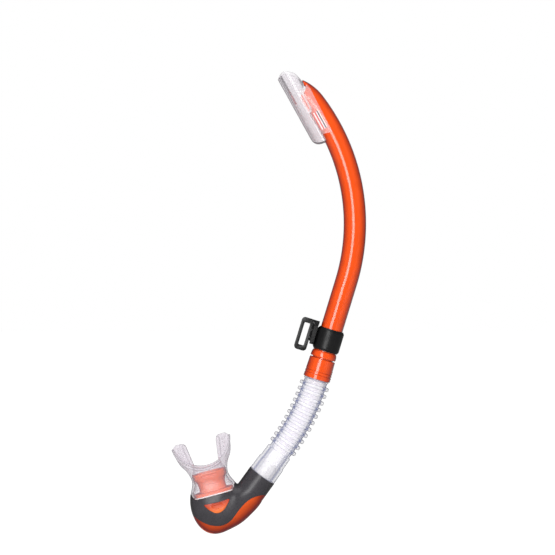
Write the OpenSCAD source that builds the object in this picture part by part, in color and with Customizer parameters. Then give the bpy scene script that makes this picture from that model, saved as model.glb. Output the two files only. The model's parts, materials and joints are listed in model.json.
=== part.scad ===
// Snorkel tube: hooded barrel, strap keeper, ribbed hose and drain chamber with mouthpiece.
// Millimetres, +Z up. Every part lies on the XZ plane, which is the plane of the barrel's bend.
// The origin is the centre of the strap slot, with the keeper at the lower end of its travel.

/* [Barrel] */
// Outside diameter of the barrel
barrel_d = 21.5; // [20:0.5:23]
// Wall thickness of the barrel
barrel_wall = 1.75; // [1.5:0.05:2]
// Lean of the straight lower end, from upright towards +X
barrel_lean = 17; // [15:1:19]
// Length of the straight lower end
barrel_straight = 77; // [75:1:80]
// Bend radius of the long curve, at the centreline
barrel_bend_r = 191; // [186:1:196]

/* [Splash guard] */
// Lean of the guard, from upright towards -X
guard_lean = 29; // [28:0.5:30]
// Length of the guard along its own axis
guard_length = 75; // [72:1:78]
// Wall thickness of the guard
guard_wall = 1.6; // [1.4:0.1:2]

/* [Strap keeper] */
// Height of the keeper's band along the barrel
band_h = 20; // [18:1:22]
// Length of the slot for the mask strap
slot_l = 22; // [20:0.5:24]
// Width of the slot for the mask strap
slot_w = 5.4; // [4.5:0.1:6]

/* [Hose] */
// Outside diameter of the hose's ribs
rib_d = 29; // [27:0.5:30]
// Number of ribs
rib_count = 11; // [9:1:11]
// Bend of the hose at rest, in degrees
hose_bend = 19; // [17:1:21]

/* [Drain chamber] */
// Depth of the chamber, front to rear
chamber_depth = 35; // [34.6:0.2:37]
// Wall thickness of the chamber
chamber_wall = 2.2; // [2:0.1:2.4]
// Diameter of the purge valve's flap
flap_d = 23; // [22:0.5:23.5]

/* [Mouthpiece] */
// Lean of the mouthpiece, from upright towards -X
mouth_lean = 15; // [14:1:16]
// Inside radius of the lip flange's curve
lip_r = 27.4; // [27:0.1:28]

/* [Hidden] */

$fn = 64;
eps = 0.01;             // overlap that fuses two volumes of one part
step = 0.05;            // difference in radius where one run of tube meets the next
fit = 0.1;              // clearance between parts that stay together
run = 0.05;             // radial running clearance of turning and sliding fits
orange = "#e8501a";
grey = "#3c3a3f";
black = "#161616";
clear = [0.93, 0.94, 0.96, 0.45];

barrel_r = barrel_d / 2;
bore_r = barrel_r - barrel_wall;

loop_top = 33.4;        // strap loop's ends, above the swivel gap
loop_bottom = 1.6;
loop_mid = (loop_top + loop_bottom) / 2;
slot_x = 26.7;          // far edge of the slot, from the barrel's axis

// ---- Barrel ----
bend_top = 37.5;        // lean of the barrel towards -X where the fin begins
fin_bend_r = 38;        // bend radius of the fin, at the centreline
fin_turn = 29;          // further turn of the fin, to its tip
fin_tip_r = 1.5;
fin_proud = 0.1;        // how far the bead at the fin's tip stands out from the tube
bell_r = 12.4;          // shoulder above the swivel gap
bell_h = 6.4;
gap = 1.2;              // swivel gap
spigot_r = 10;          // lower end, which turns inside the collar
spigot_l = 10.5;
bead = 0.4;             // snap bead that holds the collar on
seal_z = -3.6;
seal_section = 0.8;

// Middle of the swivel gap, on the axis of the barrel's straight lower end
swivel = [(slot_x - slot_w / 2) * cos(barrel_lean) - loop_mid * sin(barrel_lean), 0,
          -(slot_x - slot_w / 2) * sin(barrel_lean) - loop_mid * cos(barrel_lean)];
bend_start = on_lean(barrel_lean, barrel_straight);
bend_centre = bend_start + barrel_bend_r * [-cos(barrel_lean), 0, sin(barrel_lean)];
fin_start = bend_centre + barrel_bend_r * [cos(bend_top), 0, sin(bend_top)];
fin_centre = fin_start - fin_bend_r * [cos(bend_top), 0, sin(bend_top)];

// ---- Splash guard ----
guard_origin = swivel + [-11.1, 0, 209.8];
guard_grip = 0.3;       // how far the side walls bite behind the barrel's widest point
guard_r = barrel_r - guard_grip + guard_wall;
guard_front_x = 21.5;   // how far its side walls reach over the barrel
guard_drop = 7;         // how far the guard hangs below its origin
side_drop = 4;          // how far its side walls hang there
chin_t = 1.3;           // thickness of the chin that joins its back wall to the barrel
chin_x = 12;            // reach of the chin
drain_r = 3.4;          // half height of the drain holes above the chin
neck_x = 18;            // outside width of the closed chimney above the fin
neck_z = 48;            // start of the chimney
window_z = 23;          // start of the opening cut in the barrel's side
window_x = 14.4;
fin_x = 18.9;           // near side of the fin above the window
fin_z = 46.5;
baffle_x = 3.4;
baffle_t = 1.2;
baffle_l = 30;

// ---- Strap keeper ----
band_z = 8.4;           // underside of the band, above the swivel gap
band_r = 13;
sleeve_r = 11.6;
sleeve_lip = 0.9;       // how far the sleeve shows above and below the band
rail_z = 10.2;
rail_l = 17;
rail_neck = [2.6, 5];   // radial length and width
rail_head = [1.8, 9];
channel_t = 1.6;
loop_t = 3.6;
stile = 3.4;
tongue = [3.6, 1.3, 16];

// ---- Swivel collar and hose ----
collar_top_r = 12.5;
collar_r = 13.15;
collar_l = 19.7;
hose_socket_r = 11.8;
hose_socket_l = 8.6;
insert_r = 9.5;
insert_bore_r = 8.4;
insert_l = 8.6;
hose_r = 11.2;
hose_bore_r = insert_r + run;
hose_arc_l = 75;
hose_straight_l = 32;
cuff_r = 13.2;
cuff_flare = 0.5;
cuff_l = 28;
rib_w = 3.3;
rib_first = 7.1;        // from the collar to the first rib
rib_pitch = 6.55;

hose_top = on_lean(barrel_lean, -collar_l - gap / 2);
hose_bend_r = hose_arc_l * 180 / (PI * hose_bend);
hose_centre = hose_top + hose_bend_r * [-cos(barrel_lean), 0, sin(barrel_lean)];
hose_lean = barrel_lean + hose_bend;
hose_arc_end = hose_centre + hose_bend_r * [cos(hose_lean), 0, -sin(hose_lean)];
inlet = hose_arc_end - hose_straight_l * [sin(hose_lean), 0, cos(hose_lean)];

// ---- Drain chamber: sections that fan out from the crook between hose and mouthpiece ----
inlet_r = 14.2;
inlet_l = 19.6;
crook_r = 1.2;          // radius at the crook itself
crook = inlet - inlet_l * [sin(hose_lean), 0, cos(hose_lean)]
        + (inlet_r + crook_r) * [-cos(hose_lean), 0, sin(hose_lean)];
// Angle of each section below +X, its outer reach, its half depth and its squareness
half = chamber_depth / 2;
SECTIONS = [[hose_lean, 2 * inlet_r + crook_r, inlet_r, 2],
            [66, 33.2, 15.6, 2.1],
            [94, 42.9, half - 0.4, 2.3],
            [113, 53.4, half, 2.4],
            [127, 55.9, half, 2.4],
            [145, 52.6, half - 0.6, 2.4],
            [165, 46.6, 15, 2.5]];
FAN_STEPS = 3;          // steps between two sections
RIM = 32;               // points round each section
skin = 1.1;             // thickness of the cover and of the badges
plug_l = 4;             // thickness of the inlet's closed end, which holds the bush
bush_bore_r = 8.6;
bush_r = 9.5;
bush_l = 14;            // how far the bush stands out of the inlet

// ---- Purge valve ----
valve_angle = 112;      // direction of the valve's axis, below +X
valve_reach = 40;       // from the crook to the seat
valve_shift = 10;       // sideways, towards -X
seat_r = 13.4;
seat_t = 2.5;
seat_open_r = 9.8;
floor_t = 0.8;          // ledge under the seat
stem_r = 1.6;
hub_r = 3.4;
flap_t = 0.9;
travel = 1.6;           // lift of the flap

// ---- Mouthpiece ----
mouth_far = SECTIONS[len(SECTIONS) - 1][1];
mouth_depth = SECTIONS[len(SECTIONS) - 1][2];
mouth_width = (mouth_far - crook_r) / 2;
port_centre = crook + (mouth_far + crook_r) / 2 * [-cos(mouth_lean), 0, -sin(mouth_lean)];
port_half_w = 16.4;
port_half_d = 10.2;
port_h = 17.6;
foot_half_w = 19.6;
foot_half_d = 11.2;
foot_h = 4;
lip_at = 10;            // start of the port's wide upper end
dip = 5;                // depth of the dips in the chamber's rim
dip_r = 4;
dip_half_w = 20.8;
lip_z = 50;             // centre of the flange's curve, above the chamber's rim
lip_t = 1.8;
lip_half_h = 14.5;
tip_z = 46.5;           // height of the flange's tips

// Point on a line through the swivel gap that leans from upright towards +X
function on_lean(lean, d) = swivel + d * [sin(lean), 0, cos(lean)];

// Catmull-Rom value between b and c at t, with neighbours a and d
function blend(a, b, c, d, t) =
    0.5 * (2 * b + (c - a) * t + (2 * a - 5 * b + 4 * c - d) * t * t
           + (3 * b - a - 3 * c + d) * t * t * t);

// Smooth series through every row of a table, with a number of steps between rows
function smooth(rows, steps) =
    let (last = len(rows) - 1)
    concat([for (i = [0:last - 1], k = [0:steps - 1])
                blend(rows[max(i - 1, 0)], rows[i], rows[i + 1], rows[min(i + 2, last)], k / steps)],
           [rows[last]]);

// Superellipse with half widths a and b and squareness p
function superellipse(a, b, p, n) =
    [for (i = [0:n - 1])
        let (c = cos(360 * i / n), s = sin(360 * i / n))
        [a * sign(c) * pow(abs(c), 2 / p), b * sign(s) * pow(abs(s), 2 / p)]];

// Closed solid through a list of rings with equal point counts
module loft(rings) {
    n = len(rings[0]);
    m = len(rings);
    sides = [for (j = [0:m - 2], i = [0:n - 1])
                let (k = (i + 1) % n)
                each [[j * n + i, j * n + k, (j + 1) * n + k], [j * n + i, (j + 1) * n + k, (j + 1) * n + i]]];
    first = [for (i = [n - 1:-1:0]) i];
    last = [for (i = [0:n - 1]) (m - 1) * n + i];
    polyhedron([for (r = rings) each r], concat(sides, [first, last]), convexity = 6);
}

// Sweep of a profile round a bend in the XZ plane, from one angle above +X to another
module bend(centre, radius, from, to) {
    translate(centre) rotate([90, 0, 0]) rotate([0, 0, from])
        rotate_extrude(angle = to - from) translate([radius, 0]) children();
}

module on_barrel() {
    translate(swivel) rotate([0, barrel_lean, 0]) children();
}

module on_guard() {
    translate(guard_origin) rotate([0, -guard_lean, 0]) children();
}

module on_inlet() {
    translate(inlet) rotate([0, hose_lean, 0]) children();
}

module on_port() {
    translate(port_centre) rotate([0, -mouth_lean, 0]) children();
}

// Frame of the purge valve: +Z points out of the chamber, +X towards the hose side
module on_valve() {
    out = [cos(valve_angle), 0, -sin(valve_angle)];
    side = [-sin(valve_angle), 0, -cos(valve_angle)];
    translate(crook + valve_reach * out + valve_shift * side)
        rotate([0, 90 + valve_angle, 0]) rotate([0, 0, 180]) children();
}

// Prism through the whole depth, from an outline in the XZ plane
module through(depth = 60) {
    rotate([90, 0, 0]) linear_extrude(depth, center = true) children();
}

// ---- Barrel and splash guard ----

// Barrel as a solid rod. The bore runs on past both ends
module barrel_run(r, beyond = 0) {
    on_barrel() translate([0, 0, -beyond]) cylinder(r = r, h = barrel_straight + 0.5 + beyond);
    bend(bend_centre, barrel_bend_r, -barrel_lean, bend_top) circle(r - step);
    bend(fin_centre, fin_bend_r, bend_top - 0.5, bend_top + fin_turn + beyond) circle(r);
}

module bell() {
    translate([0, 0, gap / 2]) rotate_extrude() polygon(concat(
        [[bore_r + 0.4, 0], [bell_r, 0], [bell_r, 1.4]],
        [for (a = [15:15:75]) [barrel_r + (bell_r - barrel_r) * cos(a), 1.4 + (bell_h - 1.4) * sin(a)]],
        [[barrel_r - 0.4, bell_h + 0.6], [bore_r + 0.4, bell_h + 0.6]]));
}

module spigot() {
    low = -spigot_l;
    rotate_extrude() polygon([
        [bore_r - 0.4, low], [spigot_r, low], [spigot_r, low + 0.6], [spigot_r + bead, low + 0.9],
        [spigot_r + bead, low + 1.7], [spigot_r, low + 2], [spigot_r, seal_z - 0.1],
        [spigot_r - seal_section, seal_z - 0.1], [spigot_r - seal_section, seal_z + 1.6],
        [spigot_r, seal_z + 1.6], [spigot_r, 2], [bore_r - 0.4, 2]]);
}

module ring(inner, outer, h) {
    difference() {
        cylinder(r = outer, h = h);
        translate([0, 0, -eps]) cylinder(r = inner, h = h + 2 * eps);
    }
}

module barrel() {
    color(orange) {
        difference() {
            union() {
                barrel_run(barrel_r);
                on_barrel() {
                    bell();
                    spigot();
                }
            }
            barrel_run(bore_r, spigot_l + 1);
            on_guard() {
                translate([window_x - 60, -20, window_z]) cube([60, 40, 60]);
                translate([fin_x - 60, -20, fin_z]) cube([60, 40, 40]);
            }
        }
        fin_tip();
    }
}

// Rounded bead that closes the fin's tip
module fin_tip() {
    turn = bend_top + fin_turn - 2;
    translate(fin_centre + (fin_bend_r + barrel_r - fin_tip_r + fin_proud) * [cos(turn), 0, sin(turn)])
        rotate([90, 0, 0]) cylinder(r = fin_tip_r, h = 5, center = true);
}

// Outline of the guard across its axis, grown outwards by g
module guard_outline(g, reach) {
    translate([guard_r, 0]) circle(guard_r - guard_wall + g);
    translate([guard_r, -(guard_r - guard_wall + g)]) square([reach - guard_r, 2 * (guard_r - guard_wall + g)]);
}

module splash_guard() {
    color(clear) difference() {
        on_guard() difference() {
            translate([0, 0, -guard_drop]) linear_extrude(guard_length) guard_outline(guard_wall, guard_front_x);
            translate([0, 0, chin_t - guard_drop]) linear_extrude(guard_length) guard_outline(0, guard_front_x + 10);
            translate([chin_x, -20, -guard_drop - 1]) cube([20, 40, guard_drop - side_drop + 1]);
            drain_hole();
            translate([neck_x, -20, neck_z]) cube([20, 40, 40]);
            translate([neck_x + 2, -20, guard_length - guard_drop - 7]) rotate([0, -40, 0]) cube([20, 40, 20]);
        }
        barrel_run(barrel_r + fit);
    }
    color(clear) guard_neck();
}

// Hole through both side walls, above the chin
module drain_hole() {
    low = chin_t - guard_drop + drain_r;
    through() {
        translate([drain_r + 1.2, low]) circle(drain_r);
        translate([chin_x, low]) circle(drain_r);
        translate([drain_r + 1.2, low - drain_r]) square([chin_x - drain_r - 1.2, 2 * drain_r]);
    }
}

// Rear wall that closes the chimney above the fin
module guard_neck() {
    h = guard_length - guard_drop - neck_z - 6;
    on_guard() translate([neck_x - guard_wall, -(guard_r - 0.5), neck_z + 2])
        cube([guard_wall, 2 * guard_r - 1, h]);
}

module splash_baffle() {
    w = sqrt(pow(guard_r - guard_wall - fit, 2) - pow(guard_r - baffle_x, 2));
    color(clear) on_guard()
        translate([baffle_x, -w, guard_length - guard_drop - baffle_l - 1]) cube([baffle_t, 2 * w, baffle_l]);
}

// ---- Strap keeper ----

module keeper_sleeve() {
    color(black) on_barrel() translate([0, 0, band_z - sleeve_lip]) {
        ring(barrel_r + run, sleeve_r, band_h + 2 * sleeve_lip);
        ring(barrel_r + run, sleeve_r + 0.4, sleeve_lip - fit);
        translate([0, 0, band_h + sleeve_lip + fit]) ring(barrel_r + run, sleeve_r + 0.4, sleeve_lip - fit);
    }
}

module keeper_band() {
    color(black) on_barrel() {
        translate([0, 0, band_z]) rotate_extrude() translate([sleeve_r + run, 0]) round_strip();
        rail();
    }
}

// Half section of the band, with rounded outer corners
module round_strip() {
    t = band_r - sleeve_r - run;
    polygon(concat([[0, 0]],
        [for (a = [-90:30:0]) [t - 1 + cos(a), 1 + sin(a)]],
        [for (a = [0:30:90]) [t - 1 + cos(a), band_h - 1 + sin(a)]],
        [[0, band_h]]));
}

// Tee rail that carries the strap loop
module rail() {
    translate([-band_r - rail_neck[0] + 0.6, -rail_neck[1] / 2, rail_z]) cube([rail_neck[0], rail_neck[1], rail_l]);
    translate([-band_r - rail_neck[0] - rail_head[0] + 0.7, -rail_head[1] / 2, rail_z])
        cube([rail_head[0], rail_head[1], rail_l]);
}

module strap_loop() {
    outer = slot_x + stile;
    inner = slot_x - slot_w - stile;
    color(black) on_barrel() {
        difference() {
            loop_plate(outer, inner);
            translate([-slot_x, -10, loop_mid - slot_l / 2]) cube([slot_w, 20, slot_l]);
        }
        channel(inner);
    }
}

module loop_plate(outer, inner) {
    corner = 3.4;
    rotate([90, 0, 0]) linear_extrude(loop_t, center = true) {
        translate([-outer + corner, loop_bottom + corner]) circle(corner);
        translate([-outer + corner, loop_top - corner]) circle(corner);
        translate([-inner - corner, loop_bottom + corner]) circle(corner);
        translate([-outer, loop_bottom + corner]) square([outer - inner, loop_top - loop_bottom - 2 * corner]);
        translate([-outer + corner, loop_bottom]) square([outer - inner - 2 * corner, loop_top - loop_bottom]);
        translate([-inner - corner - 1, loop_top - 4]) square([corner + 6, 4]);
    }
}

// Channel that slides on the tee rail, closed at the top, with a window for the tongue
module channel(inner) {
    clear_x = rail_head[0] + 2 * fit;
    head_x = -band_r - rail_neck[0] - rail_head[0] + 0.7 - fit;
    wall_x = channel_t;
    half_w = rail_head[1] / 2 + fit + channel_t;
    z = rail_z + 1;
    h = loop_top - z;
    difference() {
        translate([-inner - eps, -half_w, z]) cube([head_x + inner + clear_x + wall_x, 2 * half_w, h]);
        translate([head_x, -rail_head[1] / 2 - fit, z - 1]) cube([clear_x, rail_head[1] + 2 * fit, rail_l + 1]);
        translate([head_x, -rail_neck[1] / 2 - fit, z - 1]) cube([10, rail_neck[1] + 2 * fit, rail_l + 1]);
        translate([head_x - 0.4, -half_w - 1, loop_top - 5.2 - tongue[2]])
            cube([tongue[0] + 0.4, channel_t + 1 + fit, tongue[2] + 0.4]);
    }
}

// Spring tongue in the channel's front wall, with a finger pad at its lower end
module release_tab() {
    half_w = rail_head[1] / 2 + fit + channel_t;
    x = -band_r - rail_neck[0] - rail_head[0] + 0.7 - fit;
    z = loop_top - 5 - tongue[2];
    color(black) on_barrel() {
        translate([x - 0.2, -half_w - 0.2, z]) cube(tongue);
        for (k = [0:3])
            translate([x - 0.2, -half_w - 0.8, z + 0.6 + 1.5 * k]) cube([tongue[0], 1, 0.8]);
    }
}

// ---- Swivel collar and hose ----

module swivel_seal() {
    color("#2a2a2a") on_barrel() translate([0, 0, seal_z]) ring(spigot_r - seal_section + fit, spigot_r + 0.02, 1.5);
}

module swivel_collar() {
    z0 = -gap / 2;
    bore = spigot_r + run;
    groove = spigot_r + bead + run;
    color(orange) on_barrel() rotate_extrude() polygon([
        [bore, z0], [collar_top_r, z0], [collar_r, z0 - collar_l], [hose_socket_r, z0 - collar_l],
        [hose_socket_r, z0 - collar_l + hose_socket_l], [bore, z0 - collar_l + hose_socket_l],
        [bore, -spigot_l + 0.4], [groove, -spigot_l + 0.4], [groove, -spigot_l + 2], [bore, -spigot_l + 2]]);
}

module hose_insert() {
    color(clear) on_barrel() translate([0, 0, -gap / 2 - collar_l + hose_socket_l - insert_l]) {
        ring(insert_bore_r, insert_r, insert_l - fit);
        translate([0, 0, insert_l - fit - 1]) ring(insert_bore_r, hose_socket_r - fit, 1);
    }
}

// Lean and place of the hose's centreline at a distance below the collar
module on_hose(d) {
    turn = min(d, hose_arc_l) * 180 / (PI * hose_bend_r);
    lean = barrel_lean + turn;
    translate(hose_centre + hose_bend_r * [cos(lean), 0, -sin(lean)]
              - max(d - hose_arc_l, 0) * [sin(lean), 0, cos(lean)])
        rotate([0, lean, 0]) children();
}

// Run of the hose within its bend, between two distances below the collar
module hose_arc(from, to, r) {
    turn = 180 / (PI * hose_bend_r);
    bend(hose_centre, hose_bend_r, -barrel_lean - to * turn, -barrel_lean - from * turn) circle(r);
}

// Hose as a solid rod. The bore runs on past both ends
module hose_run(r, beyond = 0) {
    on_hose(0) translate([0, 0, -0.5]) cylinder(r = r + step, h = hose_socket_l - 0.6 - fit + beyond);
    hose_arc(0, hose_arc_l, r);
    on_hose(hose_arc_l) translate([0, 0, -hose_straight_l - beyond])
        cylinder(r = r + step, h = hose_straight_l + 0.5 + beyond);
}

module flex_tube() {
    color(clear) difference() {
        union() {
            hose_run(hose_r, -fit);
            hose_arc(0.4, 1.9, collar_r - 0.8);
            for (k = [0:rib_count - 1])
                hose_arc(rib_first + rib_pitch * k - rib_w / 2, rib_first + rib_pitch * k + rib_w / 2, rib_d / 2);
            on_inlet() translate([0, 0, fit]) cylinder(r1 = cuff_r + cuff_flare, r2 = cuff_r - cuff_flare, h = cuff_l);
        }
        hose_run(hose_bore_r, 1);
    }
}

// ---- Drain chamber ----

// Ring of the chamber at one section, set inwards by w
function fan_ring(s, w) =
    let (near = crook_r + w, far = s[1] - w, a = (far - near) / 2, mid = (far + near) / 2)
    [for (p = superellipse(a, s[2] - w, s[3], RIM))
        crook + [(mid + p[0]) * cos(s[0]), p[1], -(mid + p[0]) * sin(s[0])]];

// Chamber as a solid, set inwards by w. The hollow runs on past both of its mouths
module chamber_solid(w, hollow = false) {
    beyond = hollow ? 1 : 0;
    rings = [for (s = smooth(SECTIONS, FAN_STEPS)) fan_ring(s, w)];
    inlet_ring = [for (p = rings[0]) p + (inlet_l + beyond) * [sin(hose_lean), 0, cos(hose_lean)]];
    mouth_ring = [for (p = rings[len(rings) - 1]) p + beyond * [-sin(mouth_lean), 0, cos(mouth_lean)]];
    loft(concat([inlet_ring], rings, hollow ? [mouth_ring] : []));
}

// Boundary of the orange underside, from the mouth side round to the hose side
module underside_outline() {
    edge = [[-48, -28], [-42.2, -30.8], [-34.6, -35.4], [-26.6, -38.6], [-18.7, -39.6], [-12.3, -38.6],
            [-6, -34.7], [-0.4, -27.5], [5.2, -20.4], [11.6, -14.8], [18, -12], [24.3, -11.1], [30, -12.6]];
    polygon([for (p = concat(smooth(edge, 3), [[40, -70], [-60, -70]])) p + [crook[0], crook[2]]]);
}

// Half moon set into the chamber's side, from tip to tip
module badge_outline() {
    edge = [[-31.4, -19.5], [-25, -25], [-18.7, -27.1], [-12.5, -24], [-7.1, -13.5]];
    top = [[-12.5, -15.4], [-19, -17.1], [-25.5, -18.3]];
    polygon([for (p = concat(smooth(edge, 3), top)) p + [crook[0], crook[2]]]);
}

module badge_prism(side, grow = 0) {
    translate([0, side * 15, 0]) through(30) offset(delta = grow) badge_outline();
}

module chamber_shell() {
    difference() {
        chamber_solid(0);
        difference() {
            chamber_solid(chamber_wall, true);
            on_valve() translate([-30, -30, -floor_t]) cube([70, 60, seat_t + floor_t]);
        }
    }
}

// Slots that let the water out, through the cover and the wall behind it
module vents() {
    on_valve() for (k = [-1.5:1.5])
        translate([-7, 4.6 * k - 1.2, 6]) cube([15, 2.4, 20]);
}

// Clear tube inside the hose's cuff, held in the chamber's inlet by its flange
module inlet_bush() {
    flange = 1;
    color(clear) on_inlet() translate([0, 0, -plug_l - flange - fit]) {
        ring(bush_bore_r, bush_r, bush_l + plug_l + flange + fit);
        ring(bush_bore_r, bush_r + 1.4, flange);
    }
}

// Dip in the front and rear of the chamber's rim, where the mouthpiece's skirt sits
module rim_dip(gap) {
    half_w = dip_half_w - gap;
    on_port() through() {
        translate([-half_w, dip_r - dip]) square([2 * half_w, dip - dip_r + 1]);
        translate([dip_r - half_w, gap - dip]) square([2 * (half_w - dip_r), dip + 1]);
        for (side = [-1, 1])
            translate([side * (half_w - dip_r), dip_r + gap - dip]) circle(dip_r);
    }
}

module chamber_body() {
    color(grey) difference() {
        union() {
            difference() {
                chamber_shell();
                difference() {
                    union() {
                        through() underside_outline();
                        for (side = [-1, 1])
                            badge_prism(side, fit);
                    }
                    chamber_solid(skin + fit);
                }
            }
            on_inlet() translate([0, 0, -plug_l]) cylinder(r = inlet_r - 1, h = plug_l);
        }
        on_inlet() translate([0, 0, -10]) cylinder(r = bush_r + run, h = 30);
        on_valve() {
            translate([0, 0, -floor_t - 1]) cylinder(r = seat_open_r + 2.2, h = 3);
            cylinder(r = seat_r + run, h = seat_t + 1);
        }
        vents();
        rim_dip(0);
    }
}

module purge_cover() {
    color(orange) difference() {
        intersection() {
            chamber_solid(0);
            through() offset(delta = -fit) underside_outline();
        }
        chamber_solid(skin);
        vents();
    }
}

module badge_front() {
    badge(-1);
}

module badge_rear() {
    badge(1);
}

module badge(side) {
    color(orange) intersection() {
        badge_prism(side);
        difference() {
            chamber_solid(-0.1);
            chamber_solid(skin);
        }
    }
}

// ---- Purge valve ----

module valve_seat() {
    color(orange) on_valve() {
        ring(seat_open_r, seat_r, seat_t);
        ring(stem_r + run, hub_r, seat_t);
        for (a = [0:60:300])
            rotate([0, 0, a]) translate([hub_r - 0.4, -0.8, 0]) cube([seat_open_r - hub_r + 0.8, 1.6, seat_t]);
    }
}

module purge_valve() {
    barb_z = -travel - 1.4;
    color(clear) on_valve() {
        translate([0, 0, seat_t + 0.02]) cylinder(r = flap_d / 2, h = flap_t);
        translate([0, 0, barb_z]) cylinder(r = stem_r, h = seat_t - barb_z + 0.1);
        translate([0, 0, barb_z - 1]) cylinder(r1 = 1.2, r2 = 2.3, h = 1.4);
        translate([0, 0, seat_t + flap_t]) cylinder(r = 2.4, h = 1);
    }
}

// ---- Mouthpiece ----

// Oval with straight sides: half length a, half height b
module stadium(a, b) {
    square([2 * (a - b), 2 * b], center = true);
    for (s = [-1, 1])
        translate([s * (a - b), 0]) circle(b);
}

module mouth_port() {
    color(orange) on_port() difference() {
        union() {
            translate([0, 0, -dip - 3]) linear_extrude(3)
                polygon(superellipse(mouth_width - chamber_wall - 0.4, mouth_depth - chamber_wall - 0.4, 2.5, RIM));
            translate([0, 0, -dip - 1]) linear_extrude(foot_h + 1) stadium(foot_half_w, foot_half_d);
            translate([0, 0, -2]) linear_extrude(port_h) stadium(port_half_w - 3.4, port_half_d - 1);
            translate([0, 0, lip_at]) linear_extrude(port_h - lip_at) stadium(port_half_w, port_half_d);
        }
        translate([0, 0, -dip - 4]) linear_extrude(port_h + dip + 5) stadium(port_half_w - 5, port_half_d - 2.8);
        for (side = [-1, 1])
            translate([0, side * (port_half_d + 0.6), 13.5]) rotate([0, 90, 0])
                cylinder(r = 1.3, h = 16, center = true);
    }
}

// Neck sections from the top down: height, half width, half depth, squareness
NECK = [[tip_z, 28, 12, 2.4], [37.5, 27.2, 12.6, 2.4], [29.5, 24.8, 12.8, 2.4], [21.8, 20.2, 12.4, 2.5],
        [14, 17.4, 11.8, 2.6], [8, 18.8, 12, 2.5], [2, 21.6, 13.8, 2.5], [0.05, 22.6, 14.6, 2.5]];

module neck() {
    loft([for (s = smooth(NECK, 3)) [for (p = superellipse(s[1], s[2], s[3], RIM)) [p[0], p[1], s[0]]]]);
}

module lip_cylinder(r, depth) {
    translate([0, 0, lip_z]) rotate([90, 0, 0]) cylinder(r = r, h = depth, center = true);
}

module mouthpiece() {
    color(clear) {
        difference() {
            union() {
                on_port() {
                    neck();
                    lip_flange();
                }
                skirt();
            }
            on_port() {
                lip_cylinder(lip_r, 60);
                port_hollow();
            }
        }
        on_port() for (s = [0, 1])
            mirror([s, 0, 0]) bite_tab();
    }
}

// Skirt that fills the dips in the chamber's rim
module skirt() {
    intersection() {
        rim_dip(fit);
        on_port() translate([0, 0, -dip - 1]) linear_extrude(dip + 2)
            polygon(superellipse(mouth_width, mouth_depth - 0.4, 2.5, RIM));
    }
}

// Space for the port, and the airway above it
module port_hollow() {
    translate([0, 0, -dip - 2]) linear_extrude(foot_h + 2 + fit) stadium(foot_half_w + fit, foot_half_d + fit);
    translate([0, 0, -2]) linear_extrude(port_h) stadium(port_half_w - 3.4 + fit, port_half_d - 1 + fit);
    translate([0, 0, lip_at - fit]) linear_extrude(port_h - lip_at + 2 * fit)
        stadium(port_half_w + fit, port_half_d + fit);
    linear_extrude(30) stadium(port_half_w - 2, port_half_d - 1.4);
}

// Curved flange that sits between lips and gums
module lip_flange() {
    intersection() {
        lip_cylinder(lip_r + lip_t, 2 * lip_half_h);
        translate([0, 0, lip_z - lip_r - lip_t]) linear_extrude(tip_z - lip_z + lip_r + lip_t)
            stadium(lip_r + lip_t, lip_half_h);
    }
}

// Bite tab on the flange's inner side, with a ridge along its inner edge and cross ribs
module bite_tab() {
    through(3.2) polygon([[12, 27], [15.4, 47.5], [17.4, 49.2], [24.4, 49.4], [26.6, 47.6], [27.8, 45],
                          [26.6, 39.6], [23.2, 33.6], [19.4, 29.6], [15.4, 26.6], [13, 25.6]]);
    through(8.4) polygon([[12, 28], [15.2, 47], [18, 47], [14.8, 28]]);
    for (k = [0:3])
        translate([20, 0, 34 + 3.6 * k]) rotate([90, 0, 0]) cylinder(r = 0.8, h = 5, center = true);
}

barrel();
splash_guard();
splash_baffle();
keeper_sleeve();
keeper_band();
strap_loop();
release_tab();
swivel_seal();
swivel_collar();
hose_insert();
flex_tube();
inlet_bush();
chamber_body();
purge_cover();
valve_seat();
purge_valve();
badge_front();
badge_rear();
mouth_port();
mouthpiece();
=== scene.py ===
"""Looks of the snorkel tube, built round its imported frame.

Shapes are made in millimetres in the row frame and turned into metres when a piece is finished.
"""

import json
import math

import bmesh
import bpy
import numpy as np
from mathutils import Matrix, Vector


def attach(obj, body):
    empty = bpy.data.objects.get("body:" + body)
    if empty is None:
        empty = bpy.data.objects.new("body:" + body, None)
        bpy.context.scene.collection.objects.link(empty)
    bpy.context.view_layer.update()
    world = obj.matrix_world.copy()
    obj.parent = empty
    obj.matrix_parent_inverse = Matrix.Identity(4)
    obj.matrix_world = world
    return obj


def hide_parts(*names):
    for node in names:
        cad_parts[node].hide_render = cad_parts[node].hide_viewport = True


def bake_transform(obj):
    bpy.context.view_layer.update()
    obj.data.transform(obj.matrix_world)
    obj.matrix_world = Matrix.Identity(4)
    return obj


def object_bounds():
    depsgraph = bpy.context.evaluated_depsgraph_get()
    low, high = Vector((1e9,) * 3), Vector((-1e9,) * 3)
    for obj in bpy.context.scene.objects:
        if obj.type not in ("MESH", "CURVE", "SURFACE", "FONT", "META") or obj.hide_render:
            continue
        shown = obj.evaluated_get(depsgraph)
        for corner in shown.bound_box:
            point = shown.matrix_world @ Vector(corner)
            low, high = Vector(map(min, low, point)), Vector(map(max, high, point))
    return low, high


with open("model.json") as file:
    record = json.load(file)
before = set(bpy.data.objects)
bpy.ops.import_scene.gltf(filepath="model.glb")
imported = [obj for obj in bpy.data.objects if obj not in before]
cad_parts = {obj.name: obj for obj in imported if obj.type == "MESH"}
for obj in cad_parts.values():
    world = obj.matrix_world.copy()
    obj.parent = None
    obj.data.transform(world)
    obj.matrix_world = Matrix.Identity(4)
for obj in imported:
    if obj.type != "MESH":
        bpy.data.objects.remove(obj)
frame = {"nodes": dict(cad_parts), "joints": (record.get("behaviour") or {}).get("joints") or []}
CAD_BOX = [list(corner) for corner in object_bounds()]
MM = 0.001

# -------- places, from the frame

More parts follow.
